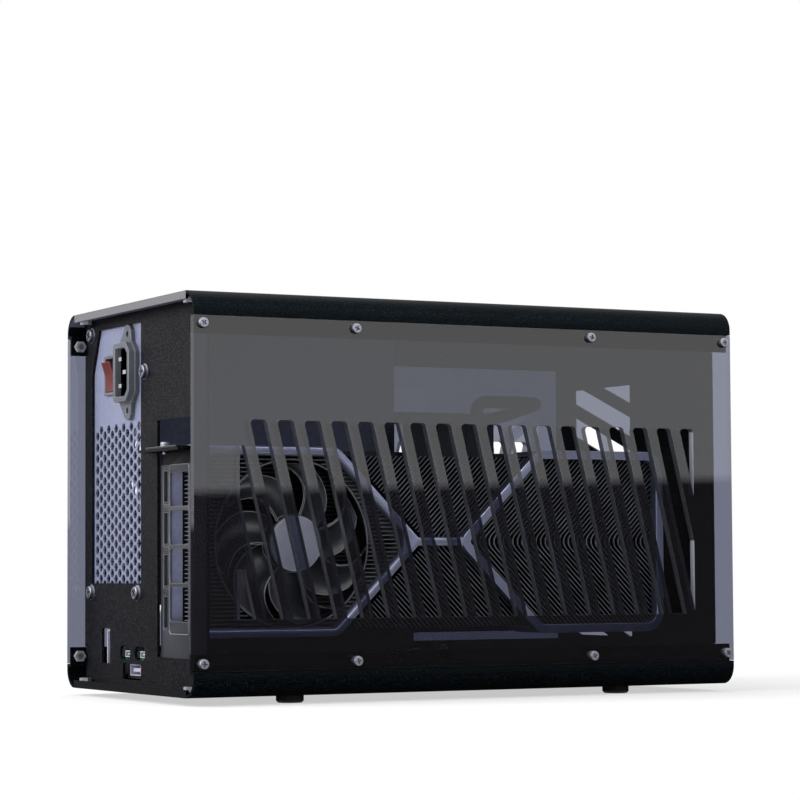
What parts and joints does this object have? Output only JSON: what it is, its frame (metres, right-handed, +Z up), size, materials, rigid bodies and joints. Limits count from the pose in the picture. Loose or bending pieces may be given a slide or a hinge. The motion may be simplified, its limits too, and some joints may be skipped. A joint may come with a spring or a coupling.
{
  "type": "external graphics card enclosure",
  "caption": "Box with rounded black covers, smoked side panels with leaning vent slots, a power supply, a graphics card and a dock board inside, and ports at the rear.",
  "frame": {"origin": "on the surface it stands on, under the middle of the box", "axes": "+X along the length, away from the rear ports; +Y to the left side panel; +Z up"},
  "size_m": [0.315, 0.1754, 0.204],
  "materials": {
    "black_coat": "fine textured powder coat",
    "smoked_acrylic": "polished smoked sheet",
    "zinc": "zinc plated",
    "black_screw": "black oxide",
    "rubber": "matte",
    "psu_steel": "satin plated sheet",
    "inlet_plastic": "moulded",
    "pin_metal": "plated",
    "rocker_red": "moulded",
    "fan_plastic": "moulded",
    "guard_wire": "plated wire",
    "circuit_board": "solder mask",
    "bare_aluminium": "extruded",
    "transformer_tape": "tape wound",
    "can_sleeve": "shrink sleeve",
    "bracket_steel": "satin",
    "chip": "moulded",
    "frame_aluminium": "bead blasted, anodised",
    "dark_fins": "black coated",
    "copper": "nickel over copper",
    "dark_plate": "black anodised",
    "port_metal": "plated shell",
    "connector_plastic": "moulded",
    "cable_sleeve": "braided sleeve"
  },
  "bodies": {
    "enclosure": {"top_cover": "black_coat", "bottom_cover": "black_coat", "rear_panel": "black_coat", "front_panel": "black_coat", "right_side_panel": "smoked_acrylic", "left_side_panel": "smoked_acrylic", "right_panel_screws": "zinc", "left_panel_screws": "zinc", "right_panel_nuts": "zinc", "left_panel_nuts": "zinc", "psu_screws": "zinc", "bracket_screws": "zinc", "dock_screws": "zinc", "dock_standoffs": "zinc", "cover_screws": "black_screw", "rubber_feet": "rubber", "psu_cable_grommet": "rubber", "psu_tray": "psu_steel", "psu_lid": "psu_steel", "psu_mains_inlet": "inlet_plastic", "psu_switch_bezel": "inlet_plastic", "psu_inlet_pins": "pin_metal", "psu_fan_frame": "fan_plastic", "card_front_fan_motor": "fan_plastic", "card_rear_fan_motor": "fan_plastic", "psu_fan_guard": "guard_wire", "psu_board": "circuit_board", "card_board": "circuit_board", "dock_board": "circuit_board", "module_board": "circuit_board", "psu_heatsinks": "bare_aluminium", "card_base_plate": "bare_aluminium", "module_spacers": "bare_aluminium", "psu_transformer": "transformer_tape", "psu_capacitors": "can_sleeve", "card_bracket": "bracket_steel", "gpu_package": "chip", "card_frame": "frame_aluminium", "card_fan_fins": "dark_fins", "card_chevron_fins": "dark_fins", "card_heat_pipes": "copper", "card_back_plate": "dark_plate", "card_display_ports": "port_metal", "usb_c_ports": "port_metal", "upright_port": "port_metal", "lower_port": "port_metal", "card_power_socket": "connector_plastic", "card_power_plug": "connector_plastic", "pcie_slot": "connector_plastic", "dock_power_socket": "connector_plastic", "dock_power_plug": "connector_plastic", "card_power_cables": "cable_sleeve", "dock_power_cables": "cable_sleeve"},
    "psu_rocker": {"psu_rocker": "rocker_red"},
    "psu_fan": {"psu_fan_rotor": "fan_plastic"},
    "card_front_fan": {"card_front_fan_rotor": "fan_plastic"},
    "card_rear_fan": {"card_rear_fan_rotor": "fan_plastic"},
    "slot_latch": {"pcie_latch": "connector_plastic"}
  },
  "joints": [
    {"name": "rocker_tilt", "type": "hinge", "parent": "enclosure", "child": "psu_rocker", "pos_m": [-0.1458, 0.0465, 0.1698], "axis": [0, 1, 0], "range_deg": [0, 20]},
    {"name": "psu_fan_spin", "type": "hinge", "parent": "enclosure", "child": "psu_fan", "pos_m": [-0.0774, 0.0647, 0.1238], "axis": [0, 1, 0], "continuous": true},
    {"name": "card_front_fan_spin", "type": "hinge", "parent": "enclosure", "child": "card_front_fan", "pos_m": [-0.0891, -0.0524, 0.07965], "axis": [0, -1, 0], "continuous": true},
    {"name": "card_rear_fan_spin", "type": "hinge", "parent": "enclosure", "child": "card_rear_fan", "pos_m": [0.086, -0.0282, 0.08065], "axis": [0, 1, 0], "continuous": true},
    {"name": "latch_tilt", "type": "hinge", "parent": "enclosure", "child": "slot_latch", "pos_m": [-0.0026, -0.0224, 0.0165], "axis": [0, 1, 0], "range_deg": [0, 35]}
  ]
}
